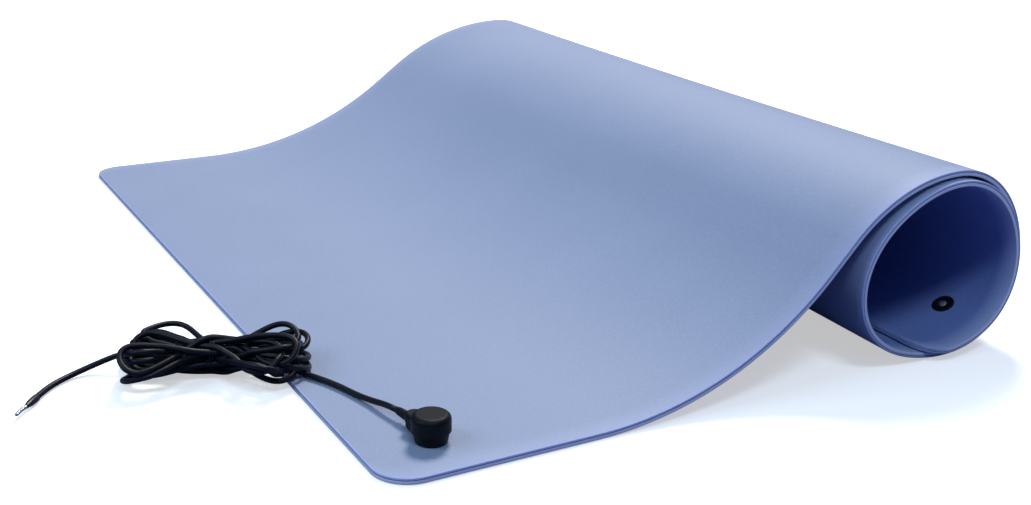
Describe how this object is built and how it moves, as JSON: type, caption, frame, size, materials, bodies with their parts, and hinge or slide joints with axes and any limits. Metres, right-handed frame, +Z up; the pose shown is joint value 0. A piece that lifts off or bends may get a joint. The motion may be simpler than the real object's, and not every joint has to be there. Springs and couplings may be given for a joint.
{
  "type": "esd bench mat with ground cord",
  "caption": "Rectangular static-dissipative bench mat, partly rolled up, with press studs and a coiled ground cord whose moulded connector snaps onto a corner stud.",
  "frame": {"origin": "bottom centre of the mat's box, with the cord left out", "axes": "+X along the mat from its free front edge to the roll, +Y along the roll's axis away from the connector's edge, +Z up"},
  "size_m": [0.576, 0.6189, 0.1122],
  "materials": {
    "dissipative_vinyl": "matt, finely grained",
    "conductive_scrim": "matt",
    "vinyl_base": "matt",
    "nickel_plate": "bright nickel plate",
    "black_nylon": "satin",
    "spring_steel": "drawn wire",
    "brass": "plain",
    "resistor_coating": "glossy lacquer",
    "tinned_copper": "dull tin",
    "cord_jacket": "satin PVC",
    "heat_shrink": "satin"
  },
  "bodies": {
    "mat": {"mat_top_layer": "dissipative_vinyl", "mat_conductive_layer": "conductive_scrim", "mat_base_layer": "vinyl_base", "front_snap_stud": "nickel_plate", "front_snap_washer": "black_nylon", "front_snap_rivet": "nickel_plate", "end_snap_stud": "nickel_plate", "end_snap_washer": "black_nylon", "end_snap_rivet": "nickel_plate"},
    "cord_set": {"cord_lead": "cord_jacket", "cord_hank": "cord_jacket", "cord_tail": "cord_jacket", "cord_tie": "cord_jacket", "end_sleeve": "heat_shrink", "end_tip": "tinned_copper"},
    "connector": {"connector_base": "black_nylon", "connector_cover": "black_nylon", "snap_socket": "nickel_plate", "socket_spring": "spring_steel", "socket_rivet": "nickel_plate", "terminal_tab": "brass", "resistor_body": "resistor_coating", "resistor_leads": "tinned_copper", "wire_crimp": "tinned_copper", "cord_conductor": "tinned_copper", "cord_inner_end": "cord_jacket", "strain_relief": "cord_jacket"}
  },
  "joints": [
    {"name": "snap_off", "type": "slide", "parent": "mat", "child": "cord_set", "axis": [0, 0, 1], "range_m": [0, 0.03]},
    {"name": "connector_swivel", "type": "hinge", "parent": "cord_set", "child": "connector", "pos_m": [-0.1814, -0.26869, 0.0034], "axis": [0, 0, 1], "range_deg": [-20, 20]}
  ]
}
